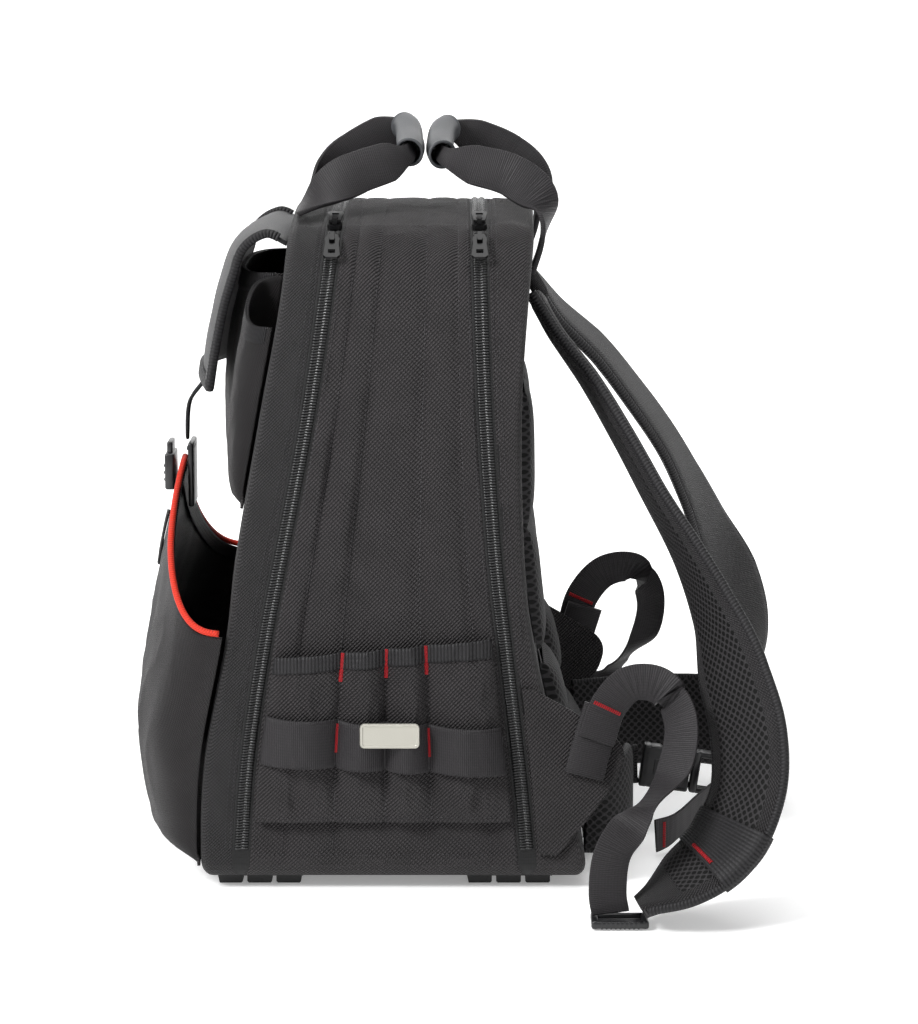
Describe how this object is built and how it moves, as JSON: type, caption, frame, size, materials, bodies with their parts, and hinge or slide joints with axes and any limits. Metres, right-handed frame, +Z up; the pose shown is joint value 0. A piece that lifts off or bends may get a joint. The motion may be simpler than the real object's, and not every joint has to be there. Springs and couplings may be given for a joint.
{
  "type": "tool backpack",
  "caption": "Upright tool backpack with an arched fabric body, zipped compartments, carry handles, padded shoulder straps and a buckled waist belt.",
  "frame": {"origin": "centre of the underside of the whole bag's bounding box, on the floor", "axes": "+Z up; -Y towards the bag's front with the big pocket; +Y towards the wearer's back; +X towards the wearer's right hand, the side with the plate"},
  "size_m": [0.5196, 0.468, 0.515],
  "materials": {
    "fabric": "matte heavy plain weave",
    "webbing": "ribbed woven tape",
    "mesh": "padded open air mesh",
    "zip": "glossy coil on woven tape",
    "zip_metal": "dark painted cast metal",
    "rubber": "matte rubber",
    "buckle_plastic": "satin moulded plastic",
    "plate": "brushed bare plate",
    "piping": "bright corded edge"
  },
  "bodies": {
    "bag": {"front_shell": "fabric", "centre_gusset": "fabric", "rear_shell": "fabric", "front_zip": "zip", "rear_zip": "zip", "front_zip_low_slider": "zip_metal", "front_zip_high_slider": "zip_metal", "rear_zip_low_slider": "zip_metal", "rear_zip_high_slider": "zip_metal", "foot_front_right": "rubber", "foot_front_left": "rubber", "foot_rear_right": "rubber", "foot_rear_left": "rubber", "front_pocket": "fabric", "front_pocket_binding": "webbing", "front_pocket_piping": "piping", "upper_pocket": "fabric", "upper_side_pocket_right": "fabric", "upper_side_pocket_left": "fabric", "flap": "fabric", "flap_binding": "webbing", "front_buckle": "buckle_plastic", "front_buckle_strap": "webbing", "front_pocket_tab": "buckle_plastic", "elastic_cord": "webbing", "side_pocket_right": "fabric", "side_loop_band_right": "webbing", "side_pocket_left": "fabric", "side_loop_band_left": "webbing", "side_plate": "plate", "back_pad_right": "mesh", "back_pad_left": "mesh", "back_pad_lower_right": "mesh", "back_pad_lower_left": "mesh", "lumbar_pad": "mesh", "front_handle_strap": "webbing", "front_handle_grip": "rubber", "rear_handle_strap": "webbing", "rear_handle_grip": "rubber", "shoulder_pad_right": "fabric", "strap_keeper_right": "webbing", "lower_webbing_right": "webbing", "ladder_lock_right": "buckle_plastic", "anchor_tab_right": "webbing", "side_wing_right": "webbing", "shoulder_pad_left": "fabric", "strap_keeper_left": "webbing", "lower_webbing_left": "webbing", "ladder_lock_left": "buckle_plastic", "anchor_tab_left": "webbing", "side_wing_left": "webbing", "hip_belt_right": "mesh", "hip_belt_left": "mesh", "belt_webbing": "webbing", "belt_buckle_socket": "buckle_plastic", "belt_buckle_clip": "buckle_plastic"},
    "front_zip_low_pull_tab": {"front_zip_low_pull": "zip_metal"},
    "front_zip_high_pull_tab": {"front_zip_high_pull": "zip_metal"},
    "rear_zip_low_pull_tab": {"rear_zip_low_pull": "zip_metal"},
    "rear_zip_high_pull_tab": {"rear_zip_high_pull": "zip_metal"}
  },
  "joints": [
    {"name": "front_zip_low_pull_hinge", "type": "hinge", "parent": "bag", "child": "front_zip_low_pull_tab", "pos_m": [0.12692, -0.09445, 0.44182], "axis": [0, -1, 0], "range_deg": [0, 110]},
    {"name": "front_zip_high_pull_hinge", "type": "hinge", "parent": "bag", "child": "front_zip_high_pull_tab", "pos_m": [0.10358, -0.09345, 0.45149], "axis": [0, 1, 0], "range_deg": [0, 110]},
    {"name": "rear_zip_low_pull_hinge", "type": "hinge", "parent": "bag", "child": "rear_zip_low_pull_tab", "pos_m": [0.12692, 0.00396, 0.44182], "axis": [0, -1, 0], "range_deg": [0, 110]},
    {"name": "rear_zip_high_pull_hinge", "type": "hinge", "parent": "bag", "child": "rear_zip_high_pull_tab", "pos_m": [0.10358, 0.00386, 0.45149], "axis": [0, 1, 0], "range_deg": [0, 110]}
  ]
}
